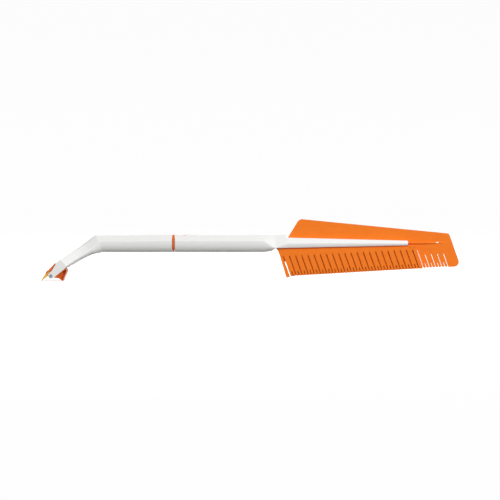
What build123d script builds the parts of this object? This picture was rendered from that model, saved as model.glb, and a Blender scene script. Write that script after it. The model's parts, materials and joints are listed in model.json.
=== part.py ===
"""Car snow brush with a rocking ice scraper head on a two-part handle, in millimetres.

+X runs along the handle towards the brush, +Z is up and the part is symmetric about Y = 0.
The origin is under the middle of the overall box, on the surface that the scraper edges stand on.

Brush half: a white handle of two shells. The upper shell runs on as two cheeks, which clamp an
orange panel (fin above, middle row of tines below) and an outer comb on each side.
Scraper half: a white arm of two shells, which bends down and widens into a fork. The fork carries
a head with a brass blade in front and ice-breaker teeth behind, which rocks on a cross axle.
An orange coupling plug joins the halves. A sprung latch tongue on it locks them together, and a
button in the brush handle pushes the tongue in.
"""

from math import cos, radians, sin
import os

from build123d import *

# ---------------------------------------------------------------- driving dimensions
OVERALL_LENGTH = 675.0
TIP_X = -OVERALL_LENGTH / 2  # front scraping edge
END_X = OVERALL_LENGTH / 2  # far end of the panel

WALL = 2.4
SCREW_RADIUS = 1.45
SCREW_HEAD_RADIUS, SCREW_HEAD_HEIGHT = 2.6, 1.5
SEAT_RADIUS = 3.0  # recess round a screw's head
HANDLE_HALF = 15.4  # half width at the crease, where the shells meet
CREASE_Z = 64.0
RIDGE_Z = 74.5
UNDERSIDE_Z = 46.0

RING_X = -126.0  # scraper side face of the coupling ring
RING_WIDTH = 3.8
RING_GAP = 0.5  # to the shell on each side
RING_INSET = 0.3
SOCKET_X = RING_X + RING_WIDTH + RING_GAP  # where the brush handle starts
COUPLING_Z = 59.6
PLUG_RADIUS, PLUG_BORE = 8.6, 6.6
PLUG_START_X, PLUG_END_X = -168.0, -66.0
SLEEVE_RADIUS, SLEEVE_BORE = 10.3, 8.7
SLEEVE_END_X = -62.0
KEY_HALF, KEY_RADIUS = 1.5, 9.3  # key under the plug that stops the halves turning

BUTTON_X = -106.5
BUTTON_LENGTH, BUTTON_WIDTH, BUTTON_DEPTH = 12.0, 9.4, 0.9
FLANGE_LENGTH, FLANGE_WIDTH = 16.0, 9.4
TONGUE_FREE_X, TONGUE_ROOT_X = -115.0, -78.0
TONGUE_HALF = 4.4

HOLLOW_END_X = 30.0
SLOT_X = 42.0  # panel and combs enter the handle here
RIDGE_END_X = 58.0  # the ridge stops and the fin starts
CHEEK_END_X = 255.3
PANEL_HALF = 1.4
COMB_INNER, COMB_OUTER = 2.0, 6.0  # distance of a comb's faces from the middle
COMB_GROOVE_DEPTH, COMB_GROOVE_HEIGHT = 1.8, 2.0  # shadow groove under the cheeks
COMB_END_X = 270.0
COMB_PIN_X, COMB_PIN_Z, COMB_PIN_RADIUS = (258.5, 265.0), 53.6, 1.3
SPINE_SCREW_X = (72.0, 130.0, 188.0, 240.0)
CHEEK_SEAT = 6.8  # distance of the cheek screws' head seats from the middle
CHEEK_SCREW_REACH = 7.2

TINE_LEAN = 19.5  # degrees from vertical, tips towards +X
TINE_PITCH = 9.94
SLIT, MIDDLE_SLIT = 1.5, 0.55
TIP_DEPTH = 8.0  # how far the short slits reach up from the tips
FIRST_SLIT_X = 53.3
OUTER_SLITS = 22
MIDDLE_SLITS = 26
TALL_SLIT, TALL_SLIT_HEIGHT = 21, 30.7  # one slit of the middle row starts higher up
MIDDLE_LOWERED = 9.0  # the middle row's slits start this far below the outer combs'
MIDDLE_SHORTER = 0.7  # and its tips end this far above theirs

PIVOT_X, PIVOT_Z = -320.7, 8.4
HEAD_HALF = 40.0
EAR_INNER, EAR_OUTER, EAR_RADIUS = 40.4, 45.0, 5.0
HEAD_CLEARANCE = 28.2  # radius that the fork leaves free for the head
AXLE_RADIUS, HUB_BORE, HUB_RADIUS = 2.0, 2.06, 4.6
AXLE_HEAD_RADIUS = 2.6
ARM_TILT = 34.0
BLADE_ANGLE, BLADE_HALF_ANGLE = 47.0, 11.0
BLADE_EXPOSED, TANG_DEPTH, TANG_HALF = 14.0, 7.0, 1.3
HOLDER_HALF, HOLDER_END = 3.1, 37.0
RIVET_RADIUS, RIVET_HEAD_RADIUS = 1.2, 2.2
TOOTH_PITCH, TOOTH_DEPTH = 5.0, 3.0


# ---------------------------------------------------------------- shared lines in the XZ plane
def along(x, start, end):
    """Height at x of the straight line through two (x, z) points."""
    return start[1] + (x - start[0]) * (end[1] - start[1]) / (end[0] - start[0])


def cheek_top(x):
    return along(x, (58.0, 69.6), (255.0, 64.6))


def cheek_bottom(x):
    return along(x, (42.0, 52.6), (255.0, 57.0))


def cheek_middle(x):
    return (cheek_top(x) + cheek_bottom(x)) / 2


def tine_tips(x):
    return along(x, (64.0, 7.1), (339.0, 23.0))


def slit_tops(x):
    return along(x, (53.3, 39.3), (262.0, 49.8))


# ---------------------------------------------------------------- helpers
def handle_section(station, inset=0.0):
    """One cross-section: two roof facets, a rounded ridge and a rounded trough.

    A station holds the crease point (x, z), the lean of the section, the half width, the rise to
    the ridge, the drop to the underside, and the shoulder as fractions of half width and rise.
    """
    x, z, tilt, half, rise, drop, flat, crown = station
    half, rise, drop = half - inset, rise - inset, drop - inset
    plane = Plane(
        origin=(x, 0, z),
        x_dir=(0, 1, 0),
        z_dir=(cos(radians(tilt)), 0, sin(radians(tilt))),
    )
    side, height = half * flat, rise * crown
    with BuildSketch(plane) as section:
        with BuildLine():
            Line((half, 0), (side, height))
            ThreePointArc((side, height), (0, rise), (-side, height))
            Line((-side, height), (-half, 0))
            Bezier((-half, 0), (-half * 0.99, -drop * 0.62), (-half * 0.62, -drop), (0, -drop))
            Bezier((0, -drop), (half * 0.62, -drop), (half * 0.99, -drop * 0.62), (half, 0))
        make_face()
    return section.sketch


def side_prism(points, half_width=60.0):
    """A prism across the whole part with the given XZ outline."""
    with BuildPart() as prism:
        with BuildSketch(Plane.XZ):
            Polygon(*points, align=None)
        extrude(amount=half_width, both=True)
    return prism.part


def lying_cylinder(radius, start_x, end_x, z=COUPLING_Z):
    """A solid cylinder along X on the coupling's axis."""
    with BuildPart() as cylinder:
        with BuildSketch(Plane.YZ.offset(start_x)):
            with Locations((0, z)):
                Circle(radius)
        extrude(amount=end_x - start_x)
    return cylinder.part


def screw(plane, length):
    """A pan-head screw with a cross recess: head below the plane, shank along its normal."""
    with BuildPart() as one:
        with BuildSketch(plane):
            Circle(SCREW_RADIUS)
        extrude(amount=length)
        with BuildSketch(plane):
            Circle(SCREW_HEAD_RADIUS)
        extrude(amount=-SCREW_HEAD_HEIGHT)
        head_rim = one.edges().filter_by(GeomType.CIRCLE).group_by(SortBy.RADIUS)[-1]
        fillet(head_rim.sort_by(lambda edge: plane.to_local_coords(edge.center()).Z)[0], 0.4)
        with BuildSketch(plane.offset(-SCREW_HEAD_HEIGHT)):
            Rectangle(2.8, 0.7)
            Rectangle(0.7, 2.8)
        extrude(amount=0.8, mode=Mode.SUBTRACT)
    return one.part


def save(part, label):
    part.label = label
    export_step(part, f"parts/{label}.step")


os.makedirs("parts", exist_ok=True)

# ---------------------------------------------------------------- brush handle, both shells
CHEEK_ROUND = (8.0, 3.8)  # height of the cheeks' widest line above their bottom, at each end
CHEEK_DROP = (11.8, 5.6)  # how far the rounding below it would run on
BRUSH_STATIONS = (
    (SOCKET_X, CREASE_Z, 0, HANDLE_HALF, RIDGE_Z - CREASE_Z, CREASE_Z - UNDERSIDE_Z, 0.38, 0.79),
    (8.0, CREASE_Z, 0, HANDLE_HALF, RIDGE_Z - CREASE_Z, CREASE_Z - UNDERSIDE_Z, 0.38, 0.79),
    (17.0, 63.9, 0, 15.3, RIDGE_Z - 63.9, 17.85, 0.385, 0.79),
    (23.2, 63.0, 0, 15.0, RIDGE_Z - 63.0, 16.8, 0.39, 0.79),
    (28.0, 60.6, 0, 14.4, RIDGE_Z - 60.6, 13.8, 0.40, 0.79),
    (34.4, 56.2, 0, 13.3, RIDGE_Z - 56.2, 8.2, 0.42, 0.79),
    (38.0, 54.0, 0, 12.7, RIDGE_Z - 54.0, 5.2, 0.44, 0.79),
    (41.0, 53.2, 0, 12.2, RIDGE_Z - 53.2, 3.8, 0.46, 0.79),
    (60.0, cheek_bottom(60.0) + CHEEK_ROUND[0], 0, 11.0, 13.9, CHEEK_DROP[0], 0.66, 0.66),
    (249.0, cheek_bottom(249.0) + CHEEK_ROUND[1], 0, 9.0, 7.6, CHEEK_DROP[1], 0.78, 0.66),
    (CHEEK_END_X, cheek_bottom(CHEEK_END_X) + CHEEK_ROUND[1], 0, 8.0, 7.0, CHEEK_DROP[1], 0.78, 0.66),
)
HOLLOW_STATIONS = BRUSH_STATIONS[:4] + (
    (HOLLOW_END_X, 59.2, 0, 14.0, RIDGE_Z - 59.2, 12.2, 0.41, 0.79),
)
SLEEVE_RIB_X = (SOCKET_X + 1.5, -93.0, -66.0)
BRUSH_BOSS_X = (-42.0, 10.0)
BOSS_RADIUS = 3.4
HANDLE_SCREW_LENGTH = 18.0
SEAT_Z = UNDERSIDE_Z + 3.2  # where the handle screws' heads sit

brush_crease = [(station[0], station[1]) for station in BRUSH_STATIONS[:8]]

with BuildPart() as brush_body:
    for station in BRUSH_STATIONS:
        add(handle_section(station))
    loft(ruled=True)

with BuildPart() as brush_hollow:
    for station in HOLLOW_STATIONS:
        add(handle_section(station, WALL))
    loft(ruled=True)

with BuildPart() as brush_fillers:
    for rib_x in SLEEVE_RIB_X:
        with Locations((rib_x, 0, COUPLING_Z)):
            Box(2.0, 60, 60)
    for boss_x in BRUSH_BOSS_X:
        with Locations((boss_x, 0, COUPLING_Z)):
            Cylinder(BOSS_RADIUS, 60)

with BuildPart() as brush_ribs:
    add(brush_hollow.part)
    add(brush_fillers.part, mode=Mode.INTERSECT)
    add(lying_cylinder(SLEEVE_RADIUS, SOCKET_X, SLEEVE_END_X), mode=Mode.SUBTRACT)

with BuildPart() as brush_solid:
    add(brush_body.part)
    add(brush_hollow.part, mode=Mode.SUBTRACT)
    add(brush_ribs.part)
    with Locations((SOCKET_X, 0, COUPLING_Z)):
        Cylinder(SLEEVE_RADIUS, 8, rotation=(0, 90, 0), mode=Mode.SUBTRACT)
    # flat underside of the cheeks
    under = [(34.5, 30), (34.5, 48.0), (41.5, 52.6), (300, cheek_bottom(300)), (300, 30)]
    add(side_prism(under), mode=Mode.SUBTRACT)
    # screw holes: free in the lower shell, snug in the upper
    for boss_x in BRUSH_BOSS_X:
        with Locations((boss_x, 0, UNDERSIDE_Z)):
            Cylinder(SEAT_RADIUS, 2 * (SEAT_Z - UNDERSIDE_Z), mode=Mode.SUBTRACT)
            Cylinder(SCREW_RADIUS, 44, mode=Mode.SUBTRACT)

with BuildPart() as brush_upper_shell:
    add(brush_solid.part)
    above = [(SOCKET_X - 5, 90), (SOCKET_X - 5, CREASE_Z)] + brush_crease[1:]
    add(side_prism(above + [(41.2, 30), (300, 30), (300, 90)]), mode=Mode.INTERSECT)
    # the cheeks' top edge, both sides of the fin
    over = [(RIDGE_END_X, 69.6), (300, cheek_top(300)), (300, 90), (RIDGE_END_X, 90)]
    add(side_prism(over), mode=Mode.SUBTRACT)
    # rounded nose
    nose = [(251.4, 70), (252.6, 65.2), (254.6, 64.0), (255.2, 62.2), (255.2, 57.8), (254.2, 55)]
    add(side_prism(nose + [(270, 55), (270, 70)]), mode=Mode.SUBTRACT)
    # slot for the panel, and the wider one for the comb roots
    panel_slot = [(SLOT_X, 30), (SLOT_X, 69.6), (300, 90), (300, 30)]
    comb_slot = [(SLOT_X, 30), (SLOT_X, 63.0), (300, 61.2), (300, 30)]
    add(side_prism(panel_slot, PANEL_HALF), mode=Mode.SUBTRACT)
    add(side_prism(comb_slot, COMB_OUTER), mode=Mode.SUBTRACT)
    # button window in the ridge, and the pocket for its flange
    with BuildSketch(Plane.XY.offset(60)):
        with Locations((BUTTON_X, 0)):
            SlotOverall(BUTTON_LENGTH + 0.7, BUTTON_WIDTH + 0.7)
    extrude(amount=20, mode=Mode.SUBTRACT)
    with Locations((BUTTON_X, 0, 66.0)):
        Box(FLANGE_LENGTH + 0.8, FLANGE_WIDTH + 0.8, 11.8, mode=Mode.SUBTRACT)
    # screws through both cheeks, heads on the far side
    for screw_x in SPINE_SCREW_X:
        screw_z = cheek_middle(screw_x)
        with Locations((screw_x, 0, screw_z)):
            Cylinder(SCREW_RADIUS, 2 * CHEEK_SCREW_REACH, rotation=(90, 0, 0), mode=Mode.SUBTRACT)
        with Locations((screw_x, CHEEK_SEAT + 5, screw_z)):
            Cylinder(SEAT_RADIUS, 10, rotation=(90, 0, 0), mode=Mode.SUBTRACT)
save(brush_upper_shell.part, "brush_upper_shell")

with BuildPart() as brush_lower_shell:
    add(brush_solid.part)
    below = [(SOCKET_X - 5, 30), (SOCKET_X - 5, CREASE_Z)] + brush_crease[1:]
    add(side_prism(below + [(41.2, 30)]), mode=Mode.INTERSECT)
save(brush_lower_shell.part, "brush_lower_shell")

# ---------------------------------------------------------------- coupling
with BuildPart() as socket_sleeve:
    add(lying_cylinder(SLEEVE_RADIUS, SOCKET_X, SLEEVE_END_X))
    add(lying_cylinder(SLEEVE_BORE, SOCKET_X, SLEEVE_END_X), mode=Mode.SUBTRACT)
    # window for the latch tooth and the pressed button
    with Locations((BUTTON_X, 0, COUPLING_Z + 9)):
        Box(FLANGE_LENGTH + 1.8, FLANGE_WIDTH + 1.2, 18, mode=Mode.SUBTRACT)
    # keyway
    with Locations((0, 0, COUPLING_Z - KEY_RADIUS + 0.75)):
        Box(400, 2 * KEY_HALF + 0.6, 2.1, mode=Mode.SUBTRACT)
save(socket_sleeve.part, "socket_sleeve")

RING_SHAPE = BRUSH_STATIONS[0][1:]
with BuildPart() as coupling_plug:
    add(handle_section((RING_X,) + RING_SHAPE, RING_INSET))
    add(handle_section((RING_X + RING_WIDTH,) + RING_SHAPE, RING_INSET))
    loft(ruled=True)
    add(lying_cylinder(PLUG_RADIUS, PLUG_START_X, PLUG_END_X))
    # key, from the ring to the plug's end
    with Locations((RING_X + 28, 0, COUPLING_Z - KEY_RADIUS + 1)):
        Box(56, 2 * KEY_HALF, 2)
    add(lying_cylinder(PLUG_BORE, PLUG_START_X, PLUG_END_X), mode=Mode.SUBTRACT)
    # groove that the arm's middle rib holds
    with BuildSketch(Plane.YZ.offset(-149)):
        with Locations((0, COUPLING_Z)):
            Circle(PLUG_RADIUS + 1)
            Circle(PLUG_RADIUS - 0.9, mode=Mode.SUBTRACT)
    extrude(amount=2.4, mode=Mode.SUBTRACT)
    # slot round the latch tongue, and its rivet's hole
    with Locations(((TONGUE_FREE_X + TONGUE_ROOT_X) / 2 - 0.4, 0, COUPLING_Z + 10)):
        Box(TONGUE_ROOT_X - TONGUE_FREE_X + 1.2, 2 * TONGUE_HALF + 1.0, 20, mode=Mode.SUBTRACT)
    with Locations((TONGUE_ROOT_X + 4.5, 0, COUPLING_Z + 8)):
        Cylinder(1.5, 12, mode=Mode.SUBTRACT)
save(coupling_plug.part, "coupling_plug")

TOOTH_TOP_Z = COUPLING_Z + SLEEVE_RADIUS - 0.3
with BuildPart() as latch_tongue:
    # strip that lies in the plug's slot
    add(lying_cylinder(PLUG_RADIUS - 0.2, TONGUE_FREE_X, TONGUE_ROOT_X - 0.2))
    # tooth: square at the free end, ramped towards the brush
    with BuildSketch(Plane.XZ):
        Polygon(
            (TONGUE_FREE_X, COUPLING_Z),
            (TONGUE_FREE_X, TOOTH_TOP_Z),
            (TONGUE_FREE_X + 7, TOOTH_TOP_Z),
            (TONGUE_FREE_X + 11, COUPLING_Z),
            align=None,
        )
    extrude(amount=TONGUE_HALF, both=True)
    add(lying_cylinder(PLUG_BORE - 0.1, TONGUE_FREE_X, TONGUE_ROOT_X), mode=Mode.SUBTRACT)
    # foot that is riveted under the plug's wall
    add(lying_cylinder(PLUG_BORE, TONGUE_ROOT_X - 10, TONGUE_ROOT_X + 9))
    add(lying_cylinder(PLUG_BORE - 1.6, TONGUE_ROOT_X - 10, TONGUE_ROOT_X + 9), mode=Mode.SUBTRACT)
    with Locations(((TONGUE_FREE_X + TONGUE_ROOT_X) / 2, 0, COUPLING_Z + 10)):
        Box(70, 2 * TONGUE_HALF, 20, mode=Mode.INTERSECT)
    with Locations((TONGUE_ROOT_X + 4.5, 0, COUPLING_Z + 8)):
        Cylinder(1.5, 12, mode=Mode.SUBTRACT)
save(latch_tongue.part, "latch_tongue")

with BuildPart() as tongue_rivet:
    with BuildSketch(Plane((TONGUE_ROOT_X + 4.5, 0, COUPLING_Z + PLUG_BORE - 2.4))):
        Circle(1.5)
    extrude(amount=4.2)
    with BuildSketch(Plane((TONGUE_ROOT_X + 4.5, 0, COUPLING_Z + PLUG_BORE - 3.4))):
        Circle(2.2)
    extrude(amount=1.1)
save(tongue_rivet.part, "tongue_rivet")

with BuildPart() as release_button:
    # cap, domed like the handle's ridge and set a little below it
    with BuildSketch(Plane.XY.offset(COUPLING_Z + SLEEVE_RADIUS + 0.6)):
        with Locations((BUTTON_X, 0)):
            SlotOverall(BUTTON_LENGTH, BUTTON_WIDTH)
    extrude(amount=8)
    add(Pos(0, 0, -BUTTON_DEPTH) * brush_body.part, mode=Mode.INTERSECT)
    # flange that keeps it in, and the foot over the latch tooth
    with Locations((BUTTON_X, 0, COUPLING_Z + SLEEVE_RADIUS + 1.1)):
        Box(FLANGE_LENGTH, FLANGE_WIDTH, 1.1)
    with Locations((BUTTON_X - 1.5, 0, COUPLING_Z + SLEEVE_RADIUS + 0.4)):
        Box(10, 5.0, 0.8)
save(release_button.part, "release_button")

# ---------------------------------------------------------------- panel and combs
TINE_SINE, TINE_COSINE = sin(radians(TINE_LEAN)), cos(radians(TINE_LEAN))


def slit_point(start_x, lowered, above_tips):
    """The point on a slit's centre line at a height above the line of the tips.

    A slit starts at x on the slit tops' line, lowered for the middle row, and leans to the tips.
    """
    top_z = slit_tops(start_x) - lowered
    run = TINE_SINE / TINE_COSINE
    slope = tine_tips(1.0) - tine_tips(0.0)
    drop = (top_z - tine_tips(start_x) - above_tips) / (1 + run * slope)
    return start_x + drop * run, top_z - drop


def tine_face(outline, slit_starts, slit=SLIT, lowered=0.0, shorter=0.0):
    """A comb's flat outline with its long slits, and two round-tipped fingers on every tine."""
    finger = (TINE_PITCH / 2 - slit) * TINE_COSINE
    first, last = slit_starts[0], slit_starts[-1]
    with BuildSketch(Plane.XY) as face:
        Polygon(*outline, align=None)
        # below the short slits' tops the tines give way to fingers
        ends = ((first, TIP_DEPTH), (last, TIP_DEPTH), (last, -9), (first, -9))
        Polygon(*[slit_point(x, lowered, height) for x, height in ends], align=None, mode=Mode.SUBTRACT)
        for start_x in slit_starts:
            top_z = slit_tops(start_x) - lowered
            end_x, end_z = slit_point(start_x, lowered, -9)
            Polygon(
                (start_x - slit / 2, top_z),
                (start_x + slit / 2, top_z + 0.4),
                (end_x + slit / 2, end_z),
                (end_x - slit / 2, end_z),
                align=None,
                mode=Mode.SUBTRACT,
            )
        for start_x in slit_starts[:-1]:
            for quarter in (0.25, 0.75):
                tip_x, tip_z = slit_point(start_x + quarter * TINE_PITCH, lowered, shorter)
                length = TIP_DEPTH * 1.7
                with Locations((tip_x - length / 2 * TINE_SINE, tip_z + length / 2 * TINE_COSINE)):
                    SlotOverall(length, finger, rotation=TINE_LEAN - 90)
    return face.sketch


outer_slits = [FIRST_SLIT_X + TINE_PITCH * count for count in range(OUTER_SLITS)]
middle_slits = [FIRST_SLIT_X + TINE_PITCH * (count + 1.07) for count in range(MIDDLE_SLITS)]

CORNER_OVERHANG = 2.96  # how far the sharp corner would pass the rounded end
FIN_PEAK, FIN_FAR = (79.3, 99.8), (321.2, 76.2)
PANEL_OUTLINE = (
    (SLOT_X, 51.0),
    (SLOT_X, 69.2),
    (RIDGE_END_X + 2.5, 69.2),
    FIN_PEAK,
    FIN_FAR,
    (END_X + CORNER_OVERHANG, tine_tips(END_X + CORNER_OVERHANG)),
    (66.4, tine_tips(66.4)),
    (57.4, 30.3),
    (51.4, 32.5),
    (49.0, 50.0),
)
ROOT_TOP = ((44.0, 57.0), (46.0, 62.6), (249.0, 61.4), (250.5, 57.0))  # inside the cheeks
OUTER_OUTLINE = ROOT_TOP + (
    (COMB_END_X - 2, 57.0),
    (COMB_END_X, 55.0),
    (COMB_END_X - 0.8, 50.4),
    (278.6, 21.5),
    (277.8, tine_tips(277.8)),
    (66.2, tine_tips(66.2)),
    (62.4, 5.6),
    (60.2, 4.9),
    (58.1, 6.0),
    (47.9, 39.9),
    (45.0, 47.5),
    (43.4, 50.4),
    (42.2, 52.0),
)

# x, low z, high z and half width of the panel's rolled rib
PIERCING = (302.3, 61.7, 4.4, 1.6)  # x, z, length and height of the small slot through it
ROLLED_RIB = ((255.8, 58.2, 64.4, 4.6), (297.0, 58.9, 63.6, 2.9), (321.0, 60.0, 62.6, 1.5))

with BuildPart() as center_panel:
    with BuildSketch(Plane.XZ.offset(-PANEL_HALF)):
        add(tine_face(PANEL_OUTLINE, middle_slits, MIDDLE_SLIT, MIDDLE_LOWERED, MIDDLE_SHORTER))
        high_x, high_z = slit_point(middle_slits[TALL_SLIT], MIDDLE_LOWERED, TALL_SLIT_HEIGHT)
        low_x, low_z = slit_point(middle_slits[TALL_SLIT], MIDDLE_LOWERED, TIP_DEPTH)
        half = MIDDLE_SLIT / 2
        Polygon(
            (high_x - half, high_z),
            (high_x + half, high_z),
            (low_x + half, low_z),
            (low_x - half, low_z),
            align=None,
            mode=Mode.SUBTRACT,
        )
    extrude(amount=2 * PANEL_HALF)
    for corner, radius in ((FIN_PEAK, 9), (FIN_FAR, 4.5), (PANEL_OUTLINE[5], 8)):
        upright = center_panel.edges().filter_by(Axis.Y)
        fillet(upright.sort_by_distance((corner[0], 0, corner[1]))[0], radius)
    # rolled rib that carries the cheeks' line on to the end
    for rib_x, low_z, high_z, half in ROLLED_RIB:
        with BuildSketch(Plane.YZ.offset(rib_x)):
            with Locations((0, (low_z + high_z) / 2)):
                Ellipse(half, (high_z - low_z) / 2)
    loft()
    with BuildSketch(Plane.XZ.offset(-8)):
        with Locations(PIERCING[:2]):
            SlotOverall(*PIERCING[2:])
    extrude(amount=16, mode=Mode.SUBTRACT)
    with Locations(*[(x, 0, cheek_middle(x)) for x in SPINE_SCREW_X]):
        Cylinder(SCREW_RADIUS, 10, rotation=(90, 0, 0), mode=Mode.SUBTRACT)
    with Locations(*[(x, 0, COMB_PIN_Z) for x in COMB_PIN_X]):
        Cylinder(COMB_PIN_RADIUS, 10, rotation=(90, 0, 0), mode=Mode.SUBTRACT)
save(center_panel.part, "center_panel")


def outer_comb(side):
    """A comb on one side of the panel: -1 is the near side, 1 the far side."""
    start = COMB_INNER if side < 0 else -COMB_OUTER
    with BuildPart() as comb:
        with BuildSketch(Plane.XZ.offset(start)):
            add(tine_face(OUTER_OUTLINE, outer_slits))
        extrude(amount=COMB_OUTER - COMB_INNER)
        # root that reaches in to the panel
        with BuildSketch(Plane.XZ.offset(PANEL_HALF if side < 0 else -COMB_OUTER)):
            Polygon(*ROOT_TOP, (COMB_END_X - 2, 57.0), (COMB_END_X - 2, 52.0), (46.0, 49.0), align=None)
        extrude(amount=COMB_OUTER - PANEL_HALF)
        with BuildSketch(Plane.XZ.offset(COMB_OUTER - COMB_GROOVE_DEPTH if side < 0 else -COMB_OUTER)):
            Polygon(
                (40, cheek_bottom(40) - COMB_GROOVE_HEIGHT),
                (CHEEK_END_X, cheek_bottom(CHEEK_END_X) - COMB_GROOVE_HEIGHT),
                (CHEEK_END_X, cheek_bottom(CHEEK_END_X) + 0.3),
                (40, cheek_bottom(40) + 0.3),
                align=None,
            )
        extrude(amount=COMB_GROOVE_DEPTH, mode=Mode.SUBTRACT)
        with Locations(*[(x, 0, cheek_middle(x)) for x in SPINE_SCREW_X]):
            Cylinder(SCREW_RADIUS, 20, rotation=(90, 0, 0), mode=Mode.SUBTRACT)
        with Locations(*[(x, 0, COMB_PIN_Z) for x in COMB_PIN_X]):
            Cylinder(COMB_PIN_RADIUS, 20, rotation=(90, 0, 0), mode=Mode.SUBTRACT)
    return comb.part


save(outer_comb(-1), "near_comb")
save(outer_comb(1), "far_comb")

with BuildPart() as comb_pins:
    for pin_x in COMB_PIN_X:
        with Locations((pin_x, 0, COMB_PIN_Z)):
            Cylinder(COMB_PIN_RADIUS, 2 * COMB_OUTER, rotation=(90, 0, 0))
save(comb_pins.part, "comb_pins")

spine_seats = [
    Plane((x, CHEEK_SEAT, cheek_middle(x)), x_dir=(1, 0, 0), z_dir=(0, -1, 0)) for x in SPINE_SCREW_X
]
spine_screws = Compound([screw(seat, CHEEK_SEAT + CHEEK_SCREW_REACH - 0.2) for seat in spine_seats])
save(spine_screws, "spine_screws")

brush_handle_screws = Compound([screw(Plane((x, 0, SEAT_Z)), HANDLE_SCREW_LENGTH) for x in BRUSH_BOSS_X])
save(brush_handle_screws, "brush_handle_screws")

# ---------------------------------------------------------------- scraper arm, both shells
SLAB = (0.97, 0.97)  # shoulder of the wide end, almost a rectangle
ARM_STATIONS = (
    (RING_X - RING_GAP, 64.0, 0, HANDLE_HALF, 10.5, 18.0, 0.38, 0.79),
    (-150.0, 64.0, 0, HANDLE_HALF, 10.4, 18.0, 0.38, 0.79),
    (-212.0, 63.0, 0, 15.2, 10.0, 17.1, 0.38, 0.79),
    (-238.5, 62.7, 0, 15.2, 10.3, 16.8, 0.38, 0.79),
    (-245.4, 61.3, 22.0, 15.4, 12.7, 16.6, 0.40, 0.80),
    (-253.0, 56.4, ARM_TILT, 16.4, 12.0, 14.2, 0.44, 0.82),
    (-261.0, 49.5, ARM_TILT, 19.0, 12.9, 8.9, 0.53, 0.85),
    (-269.0, 43.2, ARM_TILT, 23.4, 13.0, 6.8, 0.64, 0.88),
    (-276.5, 37.9, ARM_TILT, 28.8, 13.4, 5.4, 0.77, 0.91),
    (-284.0, 32.6, ARM_TILT, 35.4, 13.9, 4.7, 0.88, 0.94),
    (-298.0, 22.6, ARM_TILT, EAR_OUTER, 14.6, 3.0) + SLAB,
)
ARM_BOSS_X = (-182.0, -226.0)
FORK_SCREW_Y = 10.0
FORK_SCREW_LENGTH = 12.0
FORK_SEAT = -5.0  # where the fork screws' heads sit, from the crease


def shell_section(station, upper, inset=0.0, lip=0.0):
    """The upper or the lower half of a handle section, closed along the crease.

    A lip carries the closing line past the crease, so that a cavity opens the shell cleanly.
    """
    x, z, tilt, half, rise, drop, flat, crown = station
    half, rise, drop = half - inset, rise - inset, max(drop - inset, 0.5)
    plane = Plane(
        origin=(x, 0, z),
        x_dir=(0, 1, 0),
        z_dir=(cos(radians(tilt)), 0, sin(radians(tilt))),
    )
    side, height = half * flat, rise * crown
    with BuildSketch(plane) as section:
        with BuildLine():
            if upper:
                Line((half, -lip), (side, height))
                ThreePointArc((side, height), (0, rise), (-side, height))
                Polyline((-side, height), (-half, -lip), (half, -lip))
            else:
                Bezier((-half, lip), (-half * 0.99, -drop * 0.62), (-half * 0.62, -drop), (0, -drop))
                Bezier((0, -drop), (half * 0.62, -drop), (half * 0.99, -drop * 0.62), (half, lip))
                Line((half, lip), (-half, lip))
        make_face()
    return section.sketch


FORK_AXIS = Plane(
    (-262.0, 0, 48.5),
    x_dir=(0, 1, 0),
    z_dir=(-sin(radians(ARM_TILT)), 0, cos(radians(ARM_TILT))),
)
fork_screw_points = [(-FORK_SCREW_Y, 0), (FORK_SCREW_Y, 0)]

with BuildPart() as arm_fillers:
    for rib_x in (-130.0, -147.8, -166.0):
        with Locations((rib_x, 0, COUPLING_Z)):
            Box(2.0, 60, 60)
    for boss_x in ARM_BOSS_X:
        with Locations((boss_x, 0, COUPLING_Z)):
            Cylinder(BOSS_RADIUS, 60)
    with BuildSketch(FORK_AXIS):
        with Locations(*fork_screw_points):
            Circle(BOSS_RADIUS)
    extrude(amount=30)

with BuildPart() as plug_bed:
    add(lying_cylinder(PLUG_RADIUS, PLUG_START_X - 0.2, -148.8))
    add(lying_cylinder(PLUG_RADIUS - 0.9, -148.8, -146.8))
    add(lying_cylinder(PLUG_RADIUS, -146.8, RING_X + 5))

with BuildPart() as upper_cavity:
    for station in ARM_STATIONS:
        add(shell_section(station, True, WALL, 0.6))
    loft(ruled=True)
    add(arm_fillers.part, mode=Mode.SUBTRACT)
    # the wall behind the rocking head
    with Locations((PIVOT_X, 0, PIVOT_Z)):
        Cylinder(HEAD_CLEARANCE + WALL, 200, rotation=(90, 0, 0), mode=Mode.SUBTRACT)

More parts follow.
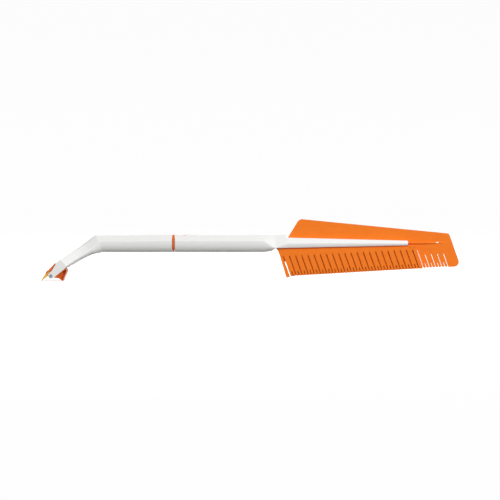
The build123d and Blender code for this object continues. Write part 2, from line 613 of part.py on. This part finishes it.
EAR_OUTLINE = (
    (-306.0, 34.6),
    (-311.6, 30.9),
    (-313.8, 26.2),
    (-319.7, 16.4),
    (-325.1, 10.8),
    (-317.0, 5.0),
    (-313.6, 7.6),
    (-297.0, 21.4),
    (-296.0, 24.5),
)
with BuildPart() as arm_upper_shell:
    for station in ARM_STATIONS:
        add(shell_section(station, True))
    loft(ruled=True)
    add(upper_cavity.part, mode=Mode.SUBTRACT)
    add(plug_bed.part, mode=Mode.SUBTRACT)
    with Locations((PIVOT_X, 0, PIVOT_Z)):
        Cylinder(HEAD_CLEARANCE, 2 * EAR_INNER, rotation=(90, 0, 0), mode=Mode.SUBTRACT)
    # ears of the fork
    for start in (EAR_INNER, -EAR_OUTER):
        with BuildSketch(Plane.XZ.offset(start)):
            Polygon(*EAR_OUTLINE, align=None)
            with Locations((PIVOT_X, PIVOT_Z)):
                Circle(EAR_RADIUS)
        extrude(amount=EAR_OUTER - EAR_INNER)
    with Locations((PIVOT_X, 0, PIVOT_Z)):
        Cylinder(AXLE_RADIUS, 200, rotation=(90, 0, 0), mode=Mode.SUBTRACT)
    for boss_x in ARM_BOSS_X:
        with Locations((boss_x, 0, UNDERSIDE_Z)):
            Cylinder(SCREW_RADIUS, 44, mode=Mode.SUBTRACT)
    with BuildSketch(FORK_AXIS.offset(FORK_SEAT)):
        with Locations(*fork_screw_points):
            Circle(SCREW_RADIUS)
    extrude(amount=FORK_SCREW_LENGTH, mode=Mode.SUBTRACT)
save(arm_upper_shell.part, "arm_upper_shell")

with BuildPart() as lower_cavity:
    for station in ARM_STATIONS[:6]:
        add(shell_section(station, False, WALL, 0.6))
    loft(ruled=True)
    add(arm_fillers.part, mode=Mode.SUBTRACT)

with BuildPart() as arm_lower_shell:
    for station in ARM_STATIONS:
        add(shell_section(station, False))
    loft(ruled=True)
    add(lower_cavity.part, mode=Mode.SUBTRACT)
    add(plug_bed.part, mode=Mode.SUBTRACT)
    with Locations((PIVOT_X, 0, PIVOT_Z)):
        Cylinder(HEAD_CLEARANCE, 200, rotation=(90, 0, 0), mode=Mode.SUBTRACT)
    # the ears pass down beside it
    for start in (EAR_INNER, -EAR_OUTER):
        with BuildSketch(Plane.XZ.offset(start)):
            Polygon(*EAR_OUTLINE, align=None)
        extrude(amount=EAR_OUTER - EAR_INNER, mode=Mode.SUBTRACT)
    for boss_x in ARM_BOSS_X:
        with Locations((boss_x, 0, UNDERSIDE_Z)):
            Cylinder(SEAT_RADIUS, 2 * (SEAT_Z - UNDERSIDE_Z), mode=Mode.SUBTRACT)
            Cylinder(SCREW_RADIUS, 44, mode=Mode.SUBTRACT)
    with BuildSketch(FORK_AXIS.offset(FORK_SEAT)):
        with Locations(*fork_screw_points):
            Circle(SCREW_RADIUS)
    extrude(amount=FORK_SCREW_LENGTH, mode=Mode.SUBTRACT)
    with BuildSketch(FORK_AXIS.offset(FORK_SEAT)):
        with Locations(*fork_screw_points):
            Circle(SEAT_RADIUS)
    extrude(amount=-12, mode=Mode.SUBTRACT)
save(arm_lower_shell.part, "arm_lower_shell")

fork_seats = [
    Plane(FORK_AXIS.from_local_coords((y, 0, FORK_SEAT)), z_dir=FORK_AXIS.z_dir)
    for y in (-FORK_SCREW_Y, FORK_SCREW_Y)
]
arm_screws = Compound(
    [screw(Plane((x, 0, SEAT_Z)), HANDLE_SCREW_LENGTH) for x in ARM_BOSS_X]
    + [screw(seat, FORK_SCREW_LENGTH - 0.4) for seat in fork_seats]
)
save(arm_screws, "arm_screws")

# ---------------------------------------------------------------- scraper head
# x runs up the blade from its edge, and the second plane faces the blade's broad side
BLADE_AXIS = Plane(
    (TIP_X, 0, 0),
    x_dir=(cos(radians(BLADE_ANGLE)), 0, sin(radians(BLADE_ANGLE))),
    z_dir=(0, -1, 0),
)
BLADE_BROADSIDE = Plane(BLADE_AXIS.origin, x_dir=BLADE_AXIS.x_dir, z_dir=BLADE_AXIS.y_dir)
BLADE_BASE_HALF = BLADE_EXPOSED * sin(radians(BLADE_HALF_ANGLE)) / cos(radians(BLADE_HALF_ANGLE))
BREAKER_CORNERS = ((-313.1, 7.2), (-298.0, 20.4), (-294.6, 16.6), (-301.9, 0.0))
RAIL_WALL, POCKET_DEPTH = 1.4, 8.0
RIVET_X = BLADE_EXPOSED + TANG_DEPTH / 2
rivet_points = [(RIVET_X, y) for y in (-27.0, -9.0, 9.0, 27.0)]

with BuildPart() as head_carrier:
    # blade holder
    with BuildSketch(BLADE_AXIS):
        with Locations(((BLADE_EXPOSED + HOLDER_END) / 2, 0)):
            RectangleRounded(HOLDER_END - BLADE_EXPOSED, 2 * HOLDER_HALF, 1.4)
    extrude(amount=HEAD_HALF, both=True)
    # hub round the axle, and the web back to the ice breaker
    with BuildSketch(Plane.XZ):
        with Locations((PIVOT_X, PIVOT_Z)):
            Circle(HUB_RADIUS)
        Polygon((-320, 10.4), (-309, 11.0), (-309, 4.6), (-320, 6.0), align=None)
        Polygon(*BREAKER_CORNERS, align=None)
    extrude(amount=HEAD_HALF, both=True)
    # the ice breaker is a rail with a pocket in each end
    for start in (HEAD_HALF - POCKET_DEPTH, -HEAD_HALF):
        with BuildSketch(Plane.XZ.offset(start)):
            with BuildLine():
                rail = Polyline(*BREAKER_CORNERS, close=True)
                offset(rail, amount=-RAIL_WALL, mode=Mode.REPLACE)
            make_face()
        extrude(amount=POCKET_DEPTH, mode=Mode.SUBTRACT)
    with Locations((PIVOT_X, 0, PIVOT_Z)):
        Cylinder(HUB_BORE, 100, rotation=(90, 0, 0), mode=Mode.SUBTRACT)
    # slot for the blade's tang, and the rivet holes
    with BuildSketch(BLADE_AXIS):
        with Locations((BLADE_EXPOSED + TANG_DEPTH / 2, 0)):
            Rectangle(TANG_DEPTH, 2 * TANG_HALF)
    extrude(amount=HEAD_HALF, both=True, mode=Mode.SUBTRACT)
    with BuildSketch(BLADE_BROADSIDE.offset(-9)):
        with Locations(*rivet_points):
            Circle(RIVET_RADIUS)
    extrude(amount=18, mode=Mode.SUBTRACT)
    # teeth along the ice breaker's edge
    with BuildSketch(Plane.YZ.offset(-312)):
        for count in range(int(2 * HEAD_HALF / TOOTH_PITCH)):
            with Locations((-HEAD_HALF + TOOTH_PITCH * (count + 0.5), 0)):
                Polygon((-1.5, -0.5), (1.5, -0.5), (0, TOOTH_DEPTH), align=None)
    extrude(amount=20, mode=Mode.SUBTRACT)
save(head_carrier.part, "head_carrier")

with BuildPart() as scraper_blade:
    with BuildSketch(BLADE_AXIS):
        Polygon(
            (0, 0),
            (BLADE_EXPOSED, -BLADE_BASE_HALF),
            (BLADE_EXPOSED, BLADE_BASE_HALF),
            align=None,
        )
        with Locations((BLADE_EXPOSED + TANG_DEPTH / 2, 0)):
            Rectangle(TANG_DEPTH, 2 * TANG_HALF)
    extrude(amount=HEAD_HALF - 1.0, both=True)
    with BuildSketch(BLADE_BROADSIDE.offset(-9)):
        with Locations(*rivet_points):
            Circle(RIVET_RADIUS)
    extrude(amount=18, mode=Mode.SUBTRACT)
save(scraper_blade.part, "scraper_blade")

with BuildPart() as blade_rivets:
    with BuildSketch(BLADE_BROADSIDE.offset(-HOLDER_HALF)):
        with Locations(*rivet_points):
            Circle(RIVET_RADIUS)
    extrude(amount=2 * HOLDER_HALF)
    with BuildSketch(BLADE_BROADSIDE.offset(HOLDER_HALF)):
        with Locations(*rivet_points):
            Circle(RIVET_HEAD_RADIUS)
    extrude(amount=0.8)
save(blade_rivets.part, "blade_rivets")

with BuildPart() as head_axle:
    with Locations((PIVOT_X, 0, PIVOT_Z)):
        Cylinder(AXLE_RADIUS, 2 * EAR_OUTER, rotation=(90, 0, 0))
    # riveted ends, each with a dimple
    with Locations((PIVOT_X, EAR_OUTER + 0.5, PIVOT_Z), (PIVOT_X, -EAR_OUTER - 0.5, PIVOT_Z)):
        Cylinder(AXLE_HEAD_RADIUS, 1.0, rotation=(90, 0, 0))
    with Locations((PIVOT_X, EAR_OUTER + 1.0, PIVOT_Z), (PIVOT_X, -EAR_OUTER - 1.0, PIVOT_Z)):
        Cylinder(1.0, 1.0, rotation=(90, 0, 0), mode=Mode.SUBTRACT)
save(head_axle.part, "head_axle")
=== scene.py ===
"""Looks for the car snow brush: materials, eased edges, floor, light and camera, in metres."""

import json
import math

import bmesh
import bpy
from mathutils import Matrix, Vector


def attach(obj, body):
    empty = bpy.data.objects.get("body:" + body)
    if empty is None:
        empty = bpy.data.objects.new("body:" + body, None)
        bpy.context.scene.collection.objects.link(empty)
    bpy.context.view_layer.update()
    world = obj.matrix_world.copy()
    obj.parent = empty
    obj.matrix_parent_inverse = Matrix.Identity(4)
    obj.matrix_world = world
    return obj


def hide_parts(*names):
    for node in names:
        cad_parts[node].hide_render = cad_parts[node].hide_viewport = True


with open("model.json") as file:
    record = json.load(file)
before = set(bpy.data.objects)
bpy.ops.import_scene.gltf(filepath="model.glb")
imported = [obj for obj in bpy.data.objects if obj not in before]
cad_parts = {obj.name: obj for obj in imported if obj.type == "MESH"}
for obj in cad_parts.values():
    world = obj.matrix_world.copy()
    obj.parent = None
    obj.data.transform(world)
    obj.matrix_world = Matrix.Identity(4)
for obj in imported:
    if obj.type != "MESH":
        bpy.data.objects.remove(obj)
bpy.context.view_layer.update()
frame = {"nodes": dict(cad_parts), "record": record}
NODES = frame["nodes"]
BODIES = frame["record"]["behaviour"]["bodies"]
NODE_BODY = {node: body for body, nodes in BODIES.items() for node in nodes}
NODE_SLOT = {part["node"]: part["material_slot"] for part in frame["record"]["subparts"]}
MM = 0.001


# ---------------------------------------------------------------- materials
GRAIN_DEPTH = 0.2 * MM  # of the fine relief that only the shading shows


def new_material(name, color, roughness, metallic=0.0, specular=0.5):
    """A principled material with plain values on its own sockets, and the tree to add detail to."""
    material = bpy.data.materials.new(name)
    material.use_nodes = True
    material.diffuse_color = (*color, 1.0)
    tree = material.node_tree
    shader = tree.nodes["Principled BSDF"]
    shader.inputs["Base Color"].default_value = (*color, 1.0)
    shader.inputs["Roughness"].default_value = roughness
    shader.inputs["Metallic"].default_value = metallic
    shader.inputs["Specular IOR Level"].default_value = specular
    return material, tree, shader


def object_coordinates(tree, stretch=(1.0, 1.0, 1.0)):
    """Object coordinates, stretched along an axis for drawn or milled marks."""
    coordinates = tree.nodes.new("ShaderNodeTexCoord")
    mapping = tree.nodes.new("ShaderNodeMapping")
    mapping.inputs["Scale"].default_value = stretch
    tree.links.new(coordinates.outputs["Object"], mapping.inputs["Vector"])
    return mapping.outputs["Vector"]


def noise(tree, vector, scale, detail=4.0, rough=0.5):
    """Fractal noise between 0 and 1, with scale repeats to the metre."""
    texture = tree.nodes.new("ShaderNodeTexNoise")
    texture.inputs["Scale"].default_value = scale
    texture.inputs["Detail"].default_value = detail
    texture.inputs["Roughness"].default_value = rough
    tree.links.new(vector, texture.inputs["Vector"])
    return texture.outputs["Fac"]


def remap(tree, value, low, high, from_low=0.3, from_high=0.7):
    """Stretches a range of the value, by default where noise mostly stays, from low to high."""
    node = tree.nodes.new("ShaderNodeMapRange")
    node.inputs["From Min"].default_value = from_low
    node.inputs["From Max"].default_value = from_high
    node.inputs["To Min"].default_value = low
    node.inputs["To Max"].default_value = high
    tree.links.new(value, node.inputs["Value"])
    return node.outputs["Result"]


def blend_color(tree, factor, dark, light):
    """A colour between dark and light."""
    node = tree.nodes.new("ShaderNodeMix")
    node.data_type = "RGBA"
    node.inputs["A"].default_value = (*dark, 1.0)
    node.inputs["B"].default_value = (*light, 1.0)
    tree.links.new(factor, node.inputs["Factor"])
    return node.outputs["Result"]


def bump(tree, height, shader, strength):
    """Fine relief on the shader's normal."""
    node = tree.nodes.new("ShaderNodeBump")
    node.inputs["Strength"].default_value = strength
    node.inputs["Distance"].default_value = GRAIN_DEPTH
    tree.links.new(height, node.inputs["Height"])
    tree.links.new(node.outputs["Normal"], shader.inputs["Normal"])


def middle_color(dark, light):
    return tuple((low + high) / 2 for low, high in zip(dark, light))


def moulded_plastic(name, dark, light, roughness, grain=0.03, specular=0.5):
    """Injection moulding: faint flow mottling, uneven sheen and a fine orange-peel surface."""
    material, tree, shader = new_material(
        name, middle_color(dark, light), roughness, specular=specular
    )
    flow = object_coordinates(tree, (0.35, 1.0, 1.0))
    mottle = remap(tree, noise(tree, flow, 240.0, 6.0, 0.65), 0.0, 1.0)
    tree.links.new(blend_color(tree, mottle, dark, light), shader.inputs["Base Color"])
    sheen = remap(tree, noise(tree, flow, 700.0, 5.0), roughness - 0.05, roughness + 0.07)
    tree.links.new(sheen, shader.inputs["Roughness"])
    bump(tree, noise(tree, object_coordinates(tree), 2400.0, 2.0), shader, grain)
    return material


def worked_metal(name, dark, light, roughness, stretch=(1.0, 1.0, 1.0)):
    """Metal with marks that can be drawn out along one axis, and a little uneven tarnish."""
    material, tree, shader = new_material(
        name, middle_color(dark, light), roughness, metallic=1.0
    )
    marks = noise(tree, object_coordinates(tree, stretch), 900.0, 4.0, 0.7)
    tarnish = remap(tree, noise(tree, object_coordinates(tree), 120.0, 4.0), 0.0, 1.0)
    tree.links.new(blend_color(tree, tarnish, dark, light), shader.inputs["Base Color"])
    finish = remap(tree, marks, roughness - 0.08, roughness + 0.12)
    tree.links.new(finish, shader.inputs["Roughness"])
    bump(tree, marks, shader, 0.12)
    return material


MILLED_ALONG_Y = (6.0, 0.2, 6.0)
MATERIALS = {
    "white_plastic": moulded_plastic(
        "white_moulding", (0.86, 0.86, 0.845), (0.90, 0.90, 0.885), 0.36, 0.05, 0.3
    ),
    "orange_panel": moulded_plastic(
        "orange_sheet", (0.90, 0.185, 0.004), (0.95, 0.210, 0.007), 0.42, 0.06, 0.2
    ),
    # orange mouldings: darker and redder than the sheet, partly their own tone and partly painted
    # shade for the recessed ring and button
    "orange_plastic": moulded_plastic(
        "orange_moulding_painted_shade", (0.72, 0.120, 0.004), (0.78, 0.140, 0.006), 0.36, 0.05, 0.3
    ),
    "grey_plastic": moulded_plastic(
        "grey_moulding", (0.10, 0.10, 0.105), (0.13, 0.13, 0.135), 0.45
    ),
    "screw_steel": worked_metal("zinc_plate", (0.42, 0.42, 0.44), (0.56, 0.56, 0.58), 0.34),
    "axle_steel": worked_metal("turned_steel", (0.20, 0.21, 0.23), (0.30, 0.31, 0.33), 0.42),
    "brass": worked_metal(
        "milled_brass", (0.50, 0.27, 0.055), (0.66, 0.38, 0.09), 0.34, MILLED_ALONG_Y
    ),
}


# ---------------------------------------------------------------- pieces
WELD_DISTANCE = 0.01 * MM
FLAT_ANGLE = 0.05  # degrees, faces closer than this are one face
SOFT_ANGLE = 40.0  # degrees, shaded smooth on eased copies
EASE_ANGLE = 35.0  # degrees, edges sharper than this are eased
EASE_SEGMENTS = 2


def smooth(mesh, angle):
    """Smooth shading, split where faces meet at more than the angle."""
    mesh.shade_smooth()
    mesh.set_sharp_from_angle(angle=math.radians(angle))


def apply_modifiers(piece):
    """Bakes the modifiers into the piece's mesh."""
    graph = bpy.context.evaluated_depsgraph_get()
    baked = bpy.data.meshes.new_from_object(piece.evaluated_get(graph))
    piece.modifiers.clear()
    piece.data = baked


def eased_copy(node, width):
    """The CAD node's own shape with welded faces and eased edges, standing for the node."""
    mesh = NODES[node].data.copy()
    piece = bpy.data.objects.new("eased_" + node, mesh)
    bpy.context.scene.collection.objects.link(piece)
    weld = bmesh.new()
    weld.from_mesh(mesh)
    bmesh.ops.remove_doubles(weld, verts=weld.verts, dist=WELD_DISTANCE)
    bmesh.ops.dissolve_limit(
        weld,
        angle_limit=math.radians(FLAT_ANGLE),
        verts=weld.verts,
        edges=weld.edges,
        delimit={"NORMAL"},
    )
    weld.to_mesh(mesh)
    weld.free()
    smooth(mesh, SOFT_ANGLE)
    bevel = piece.modifiers.new("ease", "BEVEL")
    bevel.width = width
    bevel.segments = EASE_SEGMENTS
    bevel.limit_method = "ANGLE"
    bevel.angle_limit = math.radians(EASE_ANGLE)
    bevel.use_clamp_overlap = True
    # flat faces stay flat up to their eased edges
    flatten = piece.modifiers.new("flatten", "WEIGHTED_NORMAL")
    flatten.keep_sharp = True
    apply_modifiers(piece)
    mesh = piece.data
    mesh.materials.clear()
    mesh.materials.append(MATERIALS[NODE_SLOT[node]])
    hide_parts(node)
    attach(piece, NODE_BODY[node])


# how wide each piece's edges are eased, in millimetres
EASED = {
    "brush_upper_shell": 0.35,
    "brush_lower_shell": 0.3,
    "arm_upper_shell": 0.35,
    "arm_lower_shell": 0.3,
    "center_panel": 0.12,
    "near_comb": 0.18,
    "far_comb": 0.18,
    "comb_pins": 0.3,
    "release_button": 0.35,
    "coupling_plug": 0.25,
    "head_carrier": 0.35,
    "scraper_blade": 0.08,
    "head_axle": 0.3,
}
for node_name, ease in EASED.items():
    eased_copy(node_name, ease * MM)

# small pieces and the bending tongue keep the CAD's own mesh
for node_name, node_object in NODES.items():
    if node_name not in EASED:
        node_object.data.materials.clear()
        node_object.data.materials.append(MATERIALS[NODE_SLOT[node_name]])
        smooth(node_object.data, 35.0)


# ---------------------------------------------------------------- floor, light and camera
FLOOR_RADIUS = 12.0
WALL_BEND = 4.0  # radius of the curve from the floor up into the wall
WALL_TOP = 16.0
BEND_STEPS = 16
WALL_SIDES = 96
FLOOR_DROP = 0.4 * MM  # keeps the floor just clear of what stands on it
FLOOR_GLOW = 0.62


def backdrop():
    """A pale round floor that curves up into a wall all round the studio."""
    profile = [(FLOOR_RADIUS, 0.0)]
    for step in range(1, BEND_STEPS + 1):
        turn = math.radians(90) * step / BEND_STEPS
        profile.append(
            (FLOOR_RADIUS + WALL_BEND * math.sin(turn), WALL_BEND - WALL_BEND * math.cos(turn))
        )
    profile.append((FLOOR_RADIUS + WALL_BEND, WALL_TOP))
    sheet = bmesh.new()
    rings = []
    for radius, height in profile:
        ring = []
        for side in range(WALL_SIDES):
            turn = 2 * math.pi * side / WALL_SIDES
            place = (radius * math.cos(turn), radius * math.sin(turn), height - FLOOR_DROP)
            ring.append(sheet.verts.new(place))
        rings.append(ring)
    sheet.faces.new(rings[0])
    for low, high in zip(rings, rings[1:]):
        for side in range(WALL_SIDES):
            after = (side + 1) % WALL_SIDES
            sheet.faces.new((low[side], high[side], high[after], low[after]))
    mesh = bpy.data.meshes.new("backdrop")
    sheet.to_mesh(mesh)
    sheet.free()
    mesh.shade_smooth()
    floor = bpy.data.objects.new("backdrop", mesh)
    bpy.context.scene.collection.objects.link(floor)
    material, _, shader = new_material("studio_white", (0.80, 0.80, 0.80), 0.9, specular=0.0)
    shader.inputs["Emission Color"].default_value = (1.0, 1.0, 1.0, 1.0)
    shader.inputs["Emission Strength"].default_value = FLOOR_GLOW
    mesh.materials.append(material)
    # the floor's own brightness doesn't light the object from below
    floor.visible_diffuse = False
    floor.visible_shadow = False


def aim(item, place, target):
    """Places a light or a camera and points it at the target."""
    item.location = place
    item.rotation_euler = (Vector(target) - Vector(place)).to_track_quat("-Z", "Y").to_euler()
    bpy.context.scene.collection.objects.link(item)


def area_light(name, place, size, power):
    """A rectangular light aimed at the object."""
    data = bpy.data.lights.new(name, "AREA")
    data.shape = "RECTANGLE"
    data.size, data.size_y = size
    data.energy = power
    aim(bpy.data.objects.new(name, data), place, (0.0, 0.0, 0.05))


def sky(bright, dim):
    """Soft light from all round, brighter from above than from below."""
    world = bpy.data.worlds.new("studio_world")
    world.use_nodes = True
    tree = world.node_tree
    background = tree.nodes["Background"]
    background.inputs["Strength"].default_value = 1.0
    coordinates = tree.nodes.new("ShaderNodeTexCoord")
    split = tree.nodes.new("ShaderNodeSeparateXYZ")
    tree.links.new(coordinates.outputs["Generated"], split.inputs["Vector"])
    level = remap(tree, split.outputs["Z"], 0.0, 1.0, -0.5, 0.5)
    low, high = (dim, dim, dim), (bright, bright, bright)
    tree.links.new(blend_color(tree, level, low, high), background.inputs["Color"])
    bpy.context.scene.world = world


def studio():
    """A soft key light from the front right, a weaker light from behind, and the sky."""
    sky(0.46, 0.22)
    area_light("key", (1.5, -3.1, 1.9), (1.6, 1.0), 104.0)
    area_light("back_fill", (1.0, 3.2, 2.2), (2.2, 1.2), 54.0)
    bpy.context.scene.view_settings.view_transform = "Standard"


VIEW_WIDTH = 0.8084  # seen across the picture at the object
VIEW_DISTANCE = 10.0
VIEW_TARGET = Vector((-0.0004, 0.0, 0.0495))
VIEW_ELEVATION = math.radians(0.8)
SENSOR_WIDTH = 36.0  # millimetres, like the lens


def camera():
    """A long lens almost straight from the side."""
    data = bpy.data.cameras.new("camera")
    data.sensor_width = SENSOR_WIDTH
    data.lens = SENSOR_WIDTH * VIEW_DISTANCE / VIEW_WIDTH
    data.clip_end = 80.0
    eye = bpy.data.objects.new("camera", data)
    toward_eye = Vector((0.0, -math.cos(VIEW_ELEVATION), math.sin(VIEW_ELEVATION)))
    aim(eye, VIEW_TARGET + VIEW_DISTANCE * toward_eye, VIEW_TARGET)
    bpy.context.scene.camera = eye


backdrop()
studio()
camera()
